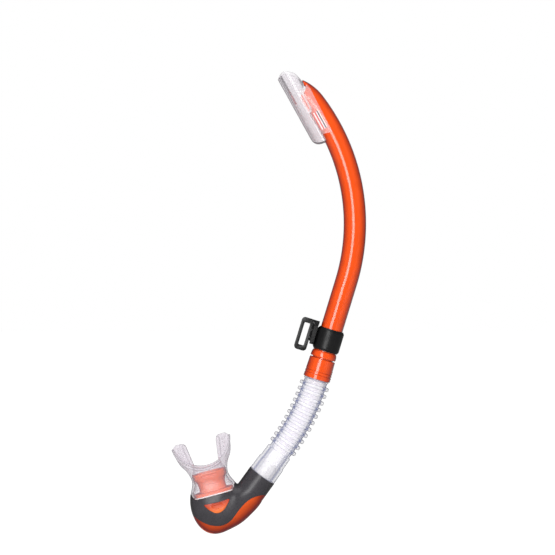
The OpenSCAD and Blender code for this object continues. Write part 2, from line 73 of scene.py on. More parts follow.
JOINT = {joint["name"]: joint for joint in frame["joints"]}
SWIVEL = Vector(JOINT["hose_swivel"]["pos_m"]) / MM
AXIS = Vector(JOINT["hose_swivel"]["axis"])
LEAN = math.degrees(math.atan2(AXIS.x, AXIS.z))
VALVE_OUT = Vector(JOINT["valve_lift"]["axis"])


def leaning(origin, lean):
    """Frame at a point, with its Z leaning from upright towards +X by an angle in degrees."""
    return Matrix.Translation(origin) @ Matrix.Rotation(math.radians(lean), 4, "Y")


def direction(lean):
    """Unit vector that leans from upright towards +X."""
    return Vector((math.sin(math.radians(lean)), 0, math.cos(math.radians(lean))))


def along(origin, lean, runs, s):
    """Frame on a path at distance s. Each run is its length and its turn towards -X in degrees."""
    at = Vector(origin)
    for index, (length, turn) in enumerate(runs):
        last = index == len(runs) - 1
        step = s if last else min(s, length)
        if abs(turn) < 1e-6:
            at = at + direction(lean) * step
        else:
            bend = math.radians(turn) / length
            a, b = math.radians(lean), math.radians(lean) - bend * step
            at = at + Vector((math.cos(b) - math.cos(a), 0, math.sin(a) - math.sin(b))) / bend
            lean -= math.degrees(bend * step)
        s -= step
        if s <= 0:
            break
    return leaning(at, lean)


# Barrel: radii, and runs of its centreline above the swivel gap
BARREL_R = 10.75
BORE_R = 9.0
BELL_R = 12.4
BELL_TOP = 7.0
FIN_LEN = 19.2
BARREL_RUNS = [(77, 0), (181.7, 54.5), (FIN_LEN, 29)]
BARREL_LEN = sum(run[0] for run in BARREL_RUNS)
GAP = 1.2

# Splash guard
GUARD = leaning(SWIVEL + Vector((-11.1, 0, 209.8)), -29)
GUARD_R = 12.05
GUARD_WALL = 1.6

# Collar and hose: runs of the hose's centreline below the collar
COLLAR_L = 19.7
HOSE_BEND = 19
HOSE_ARC = 75
HOSE_END = 32
HOSE_RUNS = [(HOSE_ARC, -HOSE_BEND), (HOSE_END, 0)]
HOSE_TOP = SWIVEL - AXIS * (COLLAR_L + GAP / 2)
HOSE_LEAN = LEAN + HOSE_BEND


def barrel_at(s):
    return along(SWIVEL, LEAN, BARREL_RUNS, s)


def hose_at(s):
    return along(HOSE_TOP, LEAN + 180, HOSE_RUNS, s)


ARC_END = hose_at(HOSE_ARC).translation
INLET = hose_at(HOSE_ARC + HOSE_END).translation
ON_BARREL = leaning(SWIVEL, LEAN)
ON_INLET = leaning(INLET, HOSE_LEAN)

# Drain chamber: sections that fan out from the crook between hose and mouthpiece
INLET_R = 14.2
INLET_L = 19.6
CROOK_R = 1.2
CROOK = INLET - direction(HOSE_LEAN) * INLET_L - direction(HOSE_LEAN + 90) * (INLET_R + CROOK_R)
HALF = 17.5
SECTIONS = [(HOSE_LEAN, 2 * INLET_R + CROOK_R, INLET_R, 2.0),
            (66, 33.2, 15.6, 2.1),
            (94, 42.9, HALF - 0.4, 2.3),
            (113, 53.4, HALF, 2.4),
            (127, 55.9, HALF, 2.4),
            (145, 52.6, HALF - 0.6, 2.4),
            (165, 46.6, 15, 2.5)]
CHAMBER_WALL = 2.2
SKIN = 1.1
SEAM = 0.16

# Mouthpiece, on the chamber's rim
MOUTH_LEAN = 15
MOUTH_FAR = SECTIONS[-1][1]
MOUTH_W = (MOUTH_FAR - CROOK_R) / 2
MOUTH_D = SECTIONS[-1][2]
PORT = leaning(CROOK + direction(-90 - MOUTH_LEAN) * (MOUTH_FAR + CROOK_R) / 2, -MOUTH_LEAN)
RIM_DIP = 5
LIP_Z = 50
LIP_R = 27.4
LIP_T = 1.8

# Purge valve: +Z of its frame points out of the chamber, +X towards the hose side
VALVE_REACH = 40
VALVE_SHIFT = 10
VALVE_SIDE = Vector((VALVE_OUT.z, 0, -VALVE_OUT.x))
VALVE_LEAN = math.degrees(math.atan2(VALVE_OUT.x, VALVE_OUT.z))
VALVE = leaning(CROOK + VALVE_OUT * VALVE_REACH + VALVE_SIDE * VALVE_SHIFT, VALVE_LEAN) @ (
    Matrix.Rotation(math.pi, 4, "Z"))

# Middle of the badges, with its X along their top edge
BADGE = leaning(CROOK + Vector((-18.9, 0, -20)), -14)

# Turns the XY outline of a prism into the XZ plane of a frame
SIDEWAYS = Matrix.Rotation(math.pi / 2, 4, "X")


# -------- mesh helpers

def make(name, points, faces, place=None):
    """Mesh object from points in mm, with its faces turned outwards."""
    mesh = bpy.data.meshes.new(name)
    mesh.from_pydata([tuple(p) for p in points], [], faces)
    if place is not None:
        mesh.transform(place)
    work = bmesh.new()
    work.from_mesh(mesh)
    bmesh.ops.recalc_face_normals(work, faces=work.faces)
    work.to_mesh(mesh)
    work.free()
    obj = bpy.data.objects.new(name, mesh)
    bpy.context.scene.collection.objects.link(obj)
    return obj


def loft(name, rings, place=None, closed=False):
    """Skin through rings of equal point counts, capped, or closed on itself like a hollow tube."""
    n, m = len(rings[0]), len(rings)
    faces = []
    for j in range(m if closed else m - 1):
        a, b = j * n, (j + 1) % m * n
        faces += [(a + i, a + (i + 1) % n, b + (i + 1) % n, b + i) for i in range(n)]
    if not closed:
        faces += [tuple(range(n - 1, -1, -1)), tuple(range((m - 1) * n, m * n))]
    return make(name, [p for ring in rings for p in ring], faces, place)


def prism(name, outline, low, high, place):
    """Outline in the XY plane of a frame, drawn out along its Z."""
    return loft(name, [[(x, y, z) for x, y in outline] for z in (low, high)], place)


def box(name, low, high, place):
    (x0, y0, z0), (x1, y1, z1) = low, high
    return prism(name, [(x0, y0), (x1, y0), (x1, y1), (x0, y1)], z0, z1, place)


def arc(x, y, r, start, end, steps=8):
    """Points on a circle's arc, in degrees."""
    turns = [math.radians(start + (end - start) * k / steps) for k in range(steps + 1)]
    return [(x + r * math.cos(t), y + r * math.sin(t)) for t in turns]


def rounded(x0, y0, x1, y1, r, steps=8):
    """Rectangle with round corners."""
    return (arc(x1 - r, y1 - r, r, 0, 90, steps) + arc(x0 + r, y1 - r, r, 90, 180, steps)
            + arc(x0 + r, y0 + r, r, 180, 270, steps) + arc(x1 - r, y0 + r, r, 270, 360, steps))


def superellipse(a, b, p, n):
    """Points of an oval with half widths a and b and squareness p."""
    points = []
    for i in range(n):
        c, s = math.cos(2 * math.pi * i / n), math.sin(2 * math.pi * i / n)
        points.append((a * math.copysign(abs(c) ** (2 / p), c), b * math.copysign(abs(s) ** (2 / p), s)))
    return points


def smooth(rows, steps):
    """Catmull-Rom series through every row, with a number of steps between rows."""
    rows = [np.array(row, float) for row in rows]
    last = len(rows) - 1
    series = []
    for i in range(last):
        a, b, c, d = rows[max(i - 1, 0)], rows[i], rows[i + 1], rows[min(i + 2, last)]
        for t in np.arange(steps) / steps:
            series.append(0.5 * (2 * b + (c - a) * t + (2 * a - 5 * b + 4 * c - d) * t ** 2
                                 + (3 * b - a - 3 * c + d) * t ** 3))
    return series + [rows[-1]]


def swept(name, profile, at, around=80, relief=None):
    """Hollow body of revolution on a path, from (distance, radius) pairs that close on themselves.

    relief gives what is added to the radius for a distance, a radius and a turn.
    """
    turns = [2 * math.pi * i / around for i in range(around)]
    rings = []
    for s, r in profile:
        place = at(s)
        radii = [r + (relief(s, r, t) if relief else 0) for t in turns]
        rings.append([place @ Vector((q * math.cos(t), q * math.sin(t), 0)) for q, t in zip(radii, turns)])
    return loft(name, rings, closed=True)


def rod(name, r, low, high, at, around=64, steps=40):
    """Solid round rod on a path."""
    ring = [Vector((x, y, 0)) for x, y in superellipse(r, r, 2, around)]
    return loft(name, [[at(s) @ p for p in ring] for s in np.linspace(low, high, steps + 1)])


def turned(name, profile, place):
    """Solid of revolution about a frame's Z, from (radius, height) pairs."""
    return loft(name, [[(x, y, z) for x, y in superellipse(r, r, 2, 72)] for r, z in profile], place)


def settle(obj):
    """Applies an object's modifiers to its mesh."""
    bpy.context.view_layer.update()
    shaped = obj.evaluated_get(bpy.context.evaluated_depsgraph_get())
    mesh = bpy.data.meshes.new_from_object(shaped)
    obj.modifiers.clear()
    obj.data = mesh
    return obj


def combine(obj, tool, operation):
    modifier = obj.modifiers.new("combine", "BOOLEAN")
    modifier.operation = operation
    modifier.solver = "EXACT"
    modifier.object = tool
    settle(obj)
    bpy.data.objects.remove(tool)
    return obj


def cut(obj, *tools):
    for tool in tools:
        combine(obj, tool, "DIFFERENCE")
    return obj


def join(obj, *tools):
    for tool in tools:
        combine(obj, tool, "UNION")
    return obj


def common(obj, tool):
    return combine(obj, tool, "INTERSECT")


def round_edges(obj, width, angle=40, segments=2):
    """Rounds every edge sharper than an angle."""
    modifier = obj.modifiers.new("round", "BEVEL")
    modifier.width = width
    modifier.segments = segments
    modifier.limit_method = "ANGLE"
    modifier.angle_limit = math.radians(angle)
    return settle(obj)


def melt(obj, voxel, rounds):
    """One even skin over joined solids, softened as moulded silicone is."""
    modifier = obj.modifiers.new("skin", "REMESH")
    modifier.mode = "VOXEL"
    modifier.voxel_size = voxel
    soften = obj.modifiers.new("soften", "SMOOTH")
    soften.factor = 0.5
    soften.iterations = rounds
    return settle(obj)


def finish_piece(obj, material, body=None, replaces=(), sharp=32):
    """Turns a piece into metres, shades it, and fastens it to its body.

    It takes the place of the CAD nodes in replaces. Edges sharper than sharp, in degrees, stay hard.
    """
    obj.data.transform(Matrix.Scale(MM, 4))
    work = bmesh.new()
    work.from_mesh(obj.data)
    bmesh.ops.remove_doubles(work, verts=work.verts, dist=0.002 * MM)
    for face in work.faces:
        face.smooth = True
    for edge in work.edges:
        edge.smooth = len(edge.link_faces) == 2 and edge.calc_face_angle() < math.radians(sharp)
    work.to_mesh(obj.data)
    work.free()
    obj.data.materials.clear()
    obj.data.materials.append(material)
    if replaces:
        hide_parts(*replaces)
    if body:
        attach(obj, body)
    return obj


# -------- materials

def new_material(name):
    material = bpy.data.materials.new(name)
    material.use_nodes = True
    tree = material.node_tree
    tree.nodes.clear()
    return material, tree


def node(tree, kind, inputs=None, **settings):
    """Shader node with its settings and inputs; an input is a value or another node's output."""
    made = tree.nodes.new(kind)
    for key, value in settings.items():
        setattr(made, key, value)
    for key, value in (inputs or {}).items():
        if isinstance(value, bpy.types.NodeSocket):
            tree.links.new(value, made.inputs[key])
        else:
            made.inputs[key].default_value = value
    return made


def colour(r, g, b):
    """Linear colour from screen values of 0 to 255."""
    parts = [c / 255 for c in (r, g, b)]
    return tuple(c / 12.92 if c < 0.0404 else ((c + 0.055) / 1.055) ** 2.4 for c in parts) + (1,)


def ramp(tree, value, stops):
    """Colour ramp over a value, from (position, colour) stops."""
    made = node(tree, "ShaderNodeValToRGB", {"Fac": value})
    first, last = made.color_ramp.elements
    first.position, first.color = stops[0]
    last.position, last.color = stops[-1]
    for position, tone in stops[1:-1]:
        made.color_ramp.elements.new(position).color = tone
    return made.outputs["Color"]


def level(value):
    """Grey of one value, which stands for a share."""
    return (value, value, value, 1)


def share_ramp(tree, value, stops):
    """How solid a piece looks over a value, from (position, share) stops."""
    return ramp(tree, value, [(position, level(share)) for position, share in stops])


def mixed(tree, amount, first, second):
    """Blend of two colours or shares: the first at an amount of 0, the second at 1."""
    return node(tree, "ShaderNodeMix", {0: amount, 6: first, 7: second}, data_type="RGBA").outputs[2]


def reckon(tree, operation, *values):
    """Result of a maths node, such as MULTIPLY, over one or two values."""
    return node(tree, "ShaderNodeMath", dict(enumerate(values)), operation=operation).outputs["Value"]


def mapped(tree, value, low, high, start=0.0, end=1.0):
    """Value from start to end while another goes from low to high, and held beyond them."""
    return node(tree, "ShaderNodeMapRange", {"Value": value, "From Min": low, "From Max": high,
                                             "To Min": start, "To Max": end}).outputs["Result"]


def grain(tree, scale, detail=4):
    """Fine noise that is fixed to the piece, with a scale in features a metre."""
    place = node(tree, "ShaderNodeTexCoord").outputs["Object"]
    noise = node(tree, "ShaderNodeTexNoise", {"Vector": place, "Scale": scale, "Detail": detail})
    return noise.outputs["Fac"]


def spread(tree, noise, low, high):
    """Maps noise, which mostly lies between 0.3 and 0.7, to a range."""
    return mapped(tree, noise, 0.3, 0.7, low, high)


def facing(tree, blend):
    return node(tree, "ShaderNodeLayerWeight", {"Blend": blend}).outputs["Facing"]


def bumped(tree, fine, strength, distance):
    """Normal from fine noise."""
    return node(tree, "ShaderNodeBump", {"Height": fine, "Strength": strength,
                                         "Distance": distance}).outputs["Normal"]


def output(tree, shader):
    node(tree, "ShaderNodeOutputMaterial", {"Surface": shader})


def moulded(name, middle, edge, rough, grit, coat=0.0, wear=0.05, relief=0.06, turn=(0.3, 0.74)):
    """Opaque moulded plastic: painted edge shade at grazing angles, cloudy pigment, moulding grain.

    turn is where the painted edge shade starts to change the colour from middle to edge, and where it is
    done, over how far the surface turns from the eye. grit and relief are the grain's scale and strength.
    """
    material, tree = new_material(name)
    # Painted shade: middle darkens to edge as the surface turns from the eye, standing in for shade at the
    # silhouette
    base = ramp(tree, facing(tree, 0.5), [(0.0, middle), (turn[0], middle), (turn[1], edge), (1.0, edge)])
    cloud = spread(tree, grain(tree, 90, 3), 1 - wear, 1 + wear)
    tinted = node(tree, "ShaderNodeHueSaturation", {"Color": base, "Value": cloud}).outputs["Color"]
    normal = bumped(tree, grain(tree, grit, 5), relief, 0.00005)
    scuffs = spread(tree, grain(tree, 420, 6), rough * 0.85, rough * 1.2)
    shader = node(tree, "ShaderNodeBsdfPrincipled", {
        "Base Color": tinted, "Roughness": scuffs, "Normal": normal, "Coat Weight": coat,
        "Coat Roughness": 0.1, "IOR": 1.46, "Specular IOR Level": 0.4}).outputs["BSDF"]
    output(tree, shader)
    return material


def clear_shader(tree, tone, share, rough, ripple, tint=(1, 1, 1, 1), inner=0.0):
    """Shader that is part clear and part milky, with a glint on top. Shadows pass straight through.

    tone and share are the milky part's colour and amount, and tint colours what is seen through the clear
    part. inner is the strength of a painted glow: the milky part emits its own tone, standing in for light
    scattered inside it.
    """
    normal = bumped(tree, grain(tree, 700, 4), ripple, 0.00012)
    surface = node(tree, "ShaderNodeBsdfDiffuse", {"Color": tone, "Normal": normal}).outputs["BSDF"]
    # Painted glow: the milky part emits its own tone, standing in for light scattered inside it
    glow = node(tree, "ShaderNodeEmission", {"Color": tone, "Strength": inner}).outputs["Emission"]
    matte = node(tree, "ShaderNodeAddShader", {0: surface, 1: glow}).outputs["Shader"]
    clear = node(tree, "ShaderNodeBsdfTransparent", {"Color": tint}).outputs["BSDF"]
    mass = node(tree, "ShaderNodeMixShader", {0: share, 1: clear, 2: matte}).outputs["Shader"]
    smear = spread(tree, grain(tree, 300, 4), rough * 0.7, rough * 1.5)
    shine = node(tree, "ShaderNodeBsdfAnisotropic", {"Roughness": smear, "Normal": normal}).outputs["BSDF"]
    glint = node(tree, "ShaderNodeFresnel", {"IOR": 1.38, "Normal": normal}).outputs["Fac"]
    soft = reckon(tree, "MINIMUM", glint, 0.22)
    coated = node(tree, "ShaderNodeMixShader", {0: soft, 1: mass, 2: shine}).outputs["Shader"]
    lit = node(tree, "ShaderNodeBsdfTransparent", {"Color": (0.97, 0.97, 0.97, 1)}).outputs["BSDF"]
    shadow = node(tree, "ShaderNodeLightPath").outputs["Is Shadow Ray"]
    return node(tree, "ShaderNodeMixShader", {0: shadow, 1: coated, 2: lit}).outputs["Shader"]


def see_through(name, face_tone, edge_tone, body, rough, ripple=0.1):
    """Clear moulding: passes light where it faces the eye and thickens to a darker tone at its edges, partly
    for the longer path through the wall and partly as painted shade.

    body gives how solid it looks face on, half turned and edge on.
    """
    material, tree = new_material(name)
    edge = facing(tree, 0.4)
    # Painted shade: face_tone darkens to edge_tone towards the silhouette
    tone = ramp(tree, edge, [(0.0, face_tone), (0.45, face_tone), (1.0, edge_tone)])
    share = share_ramp(tree, edge, zip((0.0, 0.45, 1.0), body))
    output(tree, clear_shader(tree, tone, share, rough, ripple))
    return material


def hose_material():
    """Milky silicone with painted light and shade: its thick ribs are painted light at their ends and dark
    where the wall stands in them, and its wall is painted darker towards the silhouette.
    """
    material, tree = new_material("hose_silicone")
    thick = node(tree, "ShaderNodeAttribute", attribute_name="thick").outputs["Fac"]
    edge = facing(tree, 0.5)
    white = colour(253, 252, 254)
    # Painted light and shade: blue-grey bands and dark silhouettes on wall and ribs, white where the ribs
    # catch the light
    wall = ramp(tree, edge, [(0.0, colour(236, 230, 238)), (0.42, white), (0.62, colour(176, 180, 204)),
                             (1.0, colour(104, 108, 140))])
    rib = ramp(tree, edge, [(0.0, white), (0.19, white), (0.27, colour(104, 112, 156)),
                            (0.38, colour(108, 116, 158)), (0.46, white), (0.7, white),
                            (0.86, colour(176, 174, 186)), (1.0, colour(92, 90, 104))])
    wall_share = share_ramp(tree, edge, [(0.0, 0.4), (0.42, 0.4), (0.62, 0.8), (1.0, 0.92)])
    rib_share = share_ramp(tree, edge, [(0.0, 0.4), (0.19, 0.4), (0.27, 0.72), (0.38, 0.72),
                                        (0.46, 0.25), (0.7, 0.3), (0.86, 0.75), (1.0, 0.96)])
    tone = mixed(tree, thick, wall, rib)
    share = mixed(tree, thick, wall_share, rib_share)
    # inner adds a painted glow to the milky silicone
    output(tree, clear_shader(tree, tone, share, rough=0.16, ripple=0.04, inner=0.07))
    return material


def in_frame(tree, place):
    """Object coordinates in a frame given in mm, as the outputs of a Separate XYZ node in metres."""
    inverse = place.inverted()
    spot = node(tree, "ShaderNodeMapping", {
        "Vector": node(tree, "ShaderNodeTexCoord").outputs["Object"],
        "Location": inverse.translation * MM, "Rotation": inverse.to_euler()}).outputs["Vector"]
    return node(tree, "ShaderNodeSeparateXYZ", {0: spot}).outputs


def within(tree, value, low, high, soft=0.15):
    """One between two places in mm and nought outside, with a soft border."""
    rise = mapped(tree, value, (low - soft) * MM, (low + soft) * MM)
    fall = mapped(tree, value, (high - soft) * MM, (high + soft) * MM, 1.0, 0.0)
    return reckon(tree, "MULTIPLY", rise, fall)


def banded(tree, place, bands, tone, share):
    """Tone and share with bands laid over them, each from low to high in X and Z of a frame."""
    for reach, height, shade, solid in bands:
        band = reckon(tree, "MULTIPLY", within(tree, place["X"], *reach), within(tree, place["Z"], *height))
        tone = mixed(tree, band, tone, colour(*shade))
        share = mixed(tree, band, share, level(solid))
    return tone, share


# Bands of reach and height, each with a colour and how solid it looks. On the hood they are painted light,
# refraction and shade: one wide band clear of the barrel, painted paler, six where the rails bend the orange
# behind them into painted pink, white and dark stripes, two at the panel's edge
RAIL_HEIGHT = (2.6, 20.8)
HOOD_BANDS = [
    ((12.4, 40), (-20, 46), (246, 232, 232), 0.2),
    ((12.0, 13.1), RAIL_HEIGHT, (244, 142, 136), 0.6),
    ((13.2, 14.5), RAIL_HEIGHT, (255, 250, 250), 0.7),
    ((14.6, 15.7), RAIL_HEIGHT, (242, 120, 126), 0.6),
    ((15.8, 16.9), RAIL_HEIGHT, (255, 253, 253), 0.75),
    ((17.0, 18.0), RAIL_HEIGHT, (104, 110, 124), 0.75),
    ((18.1, 19.1), RAIL_HEIGHT, (255, 252, 250), 0.75),
    ((11.4, 12.5), (25.5, 41.5), (242, 140, 122), 0.6),
    ((12.6, 14.4), (25.5, 42.5), (248, 230, 232), 0.5)]
# On the mouthpiece: the thick flange, and a painted highlight on the welt along the bottom and sides of the
# rim's dip
WELT_HIGHLIGHT = (255, 253, 254)
MOUTH_BANDS = [
    ((-40, 40), (19, 60), (212, 204, 213), 0.5),
    ((-40, 40), (-5.3, -4.0), WELT_HIGHLIGHT, 0.85),
    ((-21, -19.7), (-5, 1.0), WELT_HIGHLIGHT, 0.7),
    ((19.7, 21), (-5, 1.0), WELT_HIGHLIGHT, 0.7)]


def hood_material():
    """Clear plastic with painted edge shade, and soft painted bands on its sides for the orange behind as the
    rails bend it.
    """
    material, tree = new_material("hood_clear")
    edge = facing(tree, 0.4)
    pale = colour(226, 220, 226)
    # Painted shade: the pale tone darkens to grey-mauve and near black towards the silhouette
    tone = ramp(tree, edge, [(0.0, pale), (0.4, pale), (0.75, colour(170, 158, 168)),
                             (1.0, colour(84, 72, 78))])
    share = share_ramp(tree, edge, [(0.0, 0.2), (0.4, 0.26), (1.0, 0.9)])
    tone, share = banded(tree, in_frame(tree, GUARD), HOOD_BANDS, tone, share)
    output(tree, clear_shader(tree, tone, share, rough=0.08, ripple=0.05, tint=(0.985, 0.98, 0.985, 1)))
    return material


def mouth_material():
    """Clear silicone, milkier in its flange, with painted edge shade and a painted highlight on the welt
    along the chamber's rim.
    """
    material, tree = new_material("mouth_silicone")
    edge = facing(tree, 0.4)
    pale = colour(206, 206, 218)
    # Painted shade: the pale tone darkens towards the silhouette
    tone = ramp(tree, edge, [(0.0, pale), (0.45, pale), (1.0, colour(120, 110, 124))])
    share = share_ramp(tree, edge, [(0.0, 0.12), (0.45, 0.24), (0.8, 0.75), (1.0, 0.9)])
    tone, share = banded(tree, in_frame(tree, PORT), MOUTH_BANDS, tone, share)
    output(tree, clear_shader(tree, tone, share, rough=0.24, ripple=0.1, tint=(0.99, 0.985, 0.99, 1)))
    return material


def badge_material():
    """Satin orange with painted shade: deep red at the top of the half moon and bright at its foot, as light
    from above falls in the dish.
    """
    material, tree = new_material("badge_orange")
    # Painted shade over the dish: the colour runs from bright at the foot to deep red at the top
    rise = mapped(tree, in_frame(tree, BADGE)["Z"], -5.5 * MM, 4.5 * MM)
    base = ramp(tree, rise, [(0.0, colour(250, 118, 34)), (0.45, colour(226, 84, 26)),
                             (1.0, colour(172, 34, 14))])
    fine = grain(tree, 3000, 5)
    cloud = spread(tree, grain(tree, 200, 3), 0.94, 1.06)
    tinted = node(tree, "ShaderNodeHueSaturation", {"Color": base, "Value": cloud}).outputs["Color"]
    output(tree, node(tree, "ShaderNodeBsdfPrincipled", {
        "Base Color": tinted, "Roughness": spread(tree, fine, 0.28, 0.42),
        "Normal": bumped(tree, fine, 0.1, 0.00005)}).outputs["BSDF"])
    return material


def baffle_material():
    """Clear plate whose cut edges are painted dark, as shade seen edge on, and painted warm at its lower end
    as a reflection of the orange barrel.
    """
    material, tree = new_material("baffle_clear")
    place = node(tree, "ShaderNodeTexCoord").outputs["Object"]
    height = node(tree, "ShaderNodeSeparateXYZ", {0: place}).outputs["Z"]
    # Painted reflection and shade: red low down where the barrel shows in it, near black above
    tone = ramp(tree, mapped(tree, height, 0.226, 0.236),
                [(0.0, colour(176, 34, 26)), (1.0, colour(24, 20, 24))])
    normal = node(tree, "ShaderNodeNewGeometry").outputs["Normal"]
    sideways = node(tree, "ShaderNodeSeparateXYZ", {0: normal}).outputs["Y"]
    share = mapped(tree, reckon(tree, "ABSOLUTE", sideways), 0.5, 0.9, 0.1, 0.95)
    output(tree, clear_shader(tree, tone, share, rough=0.2, ripple=0.05))
    return material


# The second colour of each moulded material is its painted edge shade
ORANGE = moulded("orange_gloss", colour(255, 86, 14), colour(140, 6, 4), 0.16, 2600, coat=0.8, relief=0.03,
                 turn=(0.12, 0.72))
# Painted shade: the cover's edge colour starts almost face on, so its lower side turns dark red as if shaded
# from above
ORANGE_SATIN = moulded("orange_satin", colour(230, 88, 30), colour(136, 20, 8), 0.34, 3000, relief=0.1,
                       turn=(0.06, 0.5))
BADGE_ORANGE = badge_material()
SALMON = moulded("port_orange", colour(255, 116, 50), colour(196, 40, 18), 0.3, 2600)
GREY = moulded("grey_satin", colour(66, 64, 68), colour(26, 24, 27), 0.28, 3400, wear=0.1, relief=0.1)
BLACK = moulded("black_gloss", colour(20, 20, 21), colour(7, 7, 7), 0.36, 2800, wear=0.12)
BLACK_SATIN = moulded("black_satin", colour(24, 24, 25), colour(9, 9, 10), 0.4, 3200, wear=0.12)
RUBBER = moulded("seal_rubber", colour(44, 43, 43), colour(24, 23, 23), 0.6, 4200, wear=0.2, relief=0.12)
HOSE_CLEAR = hose_material()
MOUTH_CLEAR = mouth_material()
HOOD_CLEAR = hood_material()
# The second colour of each clear moulding is its painted edge shade
TUBE_CLEAR = see_through("tube_clear", colour(250, 248, 252), colour(160, 158, 170),
                         (0.12, 0.2, 0.7), 0.1, ripple=0.05)
VALVE_CLEAR = see_through("valve_silicone", colour(232, 230, 236), colour(150, 148, 160),
                          (0.35, 0.5, 0.95), 0.3)
BAFFLE = baffle_material()


# -------- barrel

WINDOW_LOW, WINDOW_NEAR = 23, 14.4
FIN_LOW, FIN_NEAR = 46.5, 18.9


def window(name, back=0.0):
    """Prism of what is cut from the barrel under the splash guard, drawn in by a distance."""
    near, far = WINDOW_NEAR - back, FIN_NEAR - back
    low, step = WINDOW_LOW + back, FIN_LOW + back
    outline = [(-40, low)] + arc(near - 2.4, low + 2.4, 2.4, 270, 360, 6)
    outline += [(near, step - 1.5), (far - 0.8, step + 1.6), (far, step + 3), (far, 90), (-40, 90)]
    return prism(name, outline, -20, 20, GUARD @ SIDEWAYS)


def fin_bead():
    """Rounded bead inside the fin's tip, across the barrel."""
    r, reach = 1.7, 26.0
    place = barrel_at(BARREL_LEN - r - 0.05)
    stops = [(-1, 0.1), (-1, 0.6), (-0.97, 0.86)] + [(t, 1) for t in np.linspace(-0.9, 0.9, 9)]
    stops += [(0.97, 0.86), (1, 0.6), (1, 0.1)]
    spill = [-0.14, -0.11, -0.05] + [0] * 9 + [0.05, 0.11, 0.14]
    rings = []
    for (t, size), extra in zip(stops, spill):
        turn = math.radians(reach * t) + extra
        radial = Vector((math.cos(turn), math.sin(turn), 0))
        rings.append([place @ (radial * (BARREL_R - r) + (radial * x + Vector((0, 0, 1)) * y) * r * size)
                      for x, y in superellipse(1, 1, 2, 20)])
    return loft("bead", rings)


def barrel():
    """Tube with its bell shoulder, and the fin that is left above the splash guard's window."""
    low = -10.5
    outer = [(low, 9.7), (low + 0.6, 10), (low + 0.9, 10.4), (low + 1.7, 10.4), (low + 2, 10),
             (-3.7, 10), (-3.7, 9.2), (-2, 9.2), (-2, 10), (GAP / 2, 10),
             (GAP / 2, BELL_R - 0.35), (GAP / 2 + 0.1, BELL_R - 0.1), (GAP / 2 + 0.35, BELL_R), (2, BELL_R)]
    outer += [(2 + (BELL_TOP - 2) * math.sin(t), BARREL_R + (BELL_R - BARREL_R) * math.cos(t))
              for t in np.radians(np.arange(12, 91, 13))]
    fin = BARREL_LEN - FIN_LEN
    stations = list(np.linspace(12, fin, 88)) + list(np.linspace(fin, BARREL_LEN, 18))[1:]
    outer += [(s, BARREL_R) for s in stations]
    inner = [(s, BORE_R) for s in reversed(stations)] + [(low, BORE_R)]
    tube = swept("barrel_tube", outer + inner, barrel_at, around=84)
    cut(tube, window("window"))
    tip_r = 6.5
    tip = [(-20, -tip_r)] + arc(0, -tip_r, tip_r, 180, 0, 16) + [(20, -tip_r), (20, 12), (-20, 12)]
    outward = Matrix(((0, 0, 1, 0), (1, 0, 0, 0), (0, 1, 0, 0), (0, 0, 0, 1)))
    cut(tube, prism("tip", tip, -2, 20, barrel_at(BARREL_LEN) @ outward))
    round_edges(tube, 0.3, angle=50)
    join(tube, fin_bead())
    return finish_piece(tube, ORANGE, "barrel", ["barrel"])


# -------- splash guard

def hood_outline(wall, reach, corner):
    """Outline across the guard: half circle at its back, flat sides, closed at its reach."""
    r = GUARD_R - wall
    return (arc(GUARD_R, 0, r, 90, 270, 32) + arc(reach - corner, corner - r, corner, 270, 360, 8)
            + arc(reach - corner, r - corner, corner, 0, 90, 8))


# Side views in the guard's frame, as reach and height
CHIN = [(-3, 4.5), (-0.2, 0.9), (0.7, -2.4), (2.6, -5.2), (5.4, -6.9), (9, -7.8), (14, -8.1), (30, -8.1)]
CHIN_INSIDE = [(-3, 2.5), (0.9, -1.0), (2.0, -3.4), (3.9, -5.3), (6.6, -6.6), (10, -7.2), (14, -7.4),
               (40, -7.4)]
DRAIN = [(14, -2.1), (12.4, -1.5), (9.4, 0.1), (6.2, 1.0), (3.2, 0.8), (1.7, -0.6), (2.1, -3.3), (4.0, -5.3),
         (6.6, -6.6), (10, -7.2), (14, -7.4)]
CROWN = [(-3, 63.6), (0, 65.8), (3.2, 68.0), (6.4, 69.2), (9.2, 68.4), (12.0, 66.6), (15.0, 64.0),
         (16.8, 61.2), (18.0, 57.4), (19.0, 53.2), (20.0, 49.4), (21.4, 45.4), (22.6, 42)]


def beside(name, outline):
    """Prism through the whole guard, from a side view."""
    return prism(name, [tuple(p) for p in outline], -20, 20, GUARD @ SIDEWAYS)


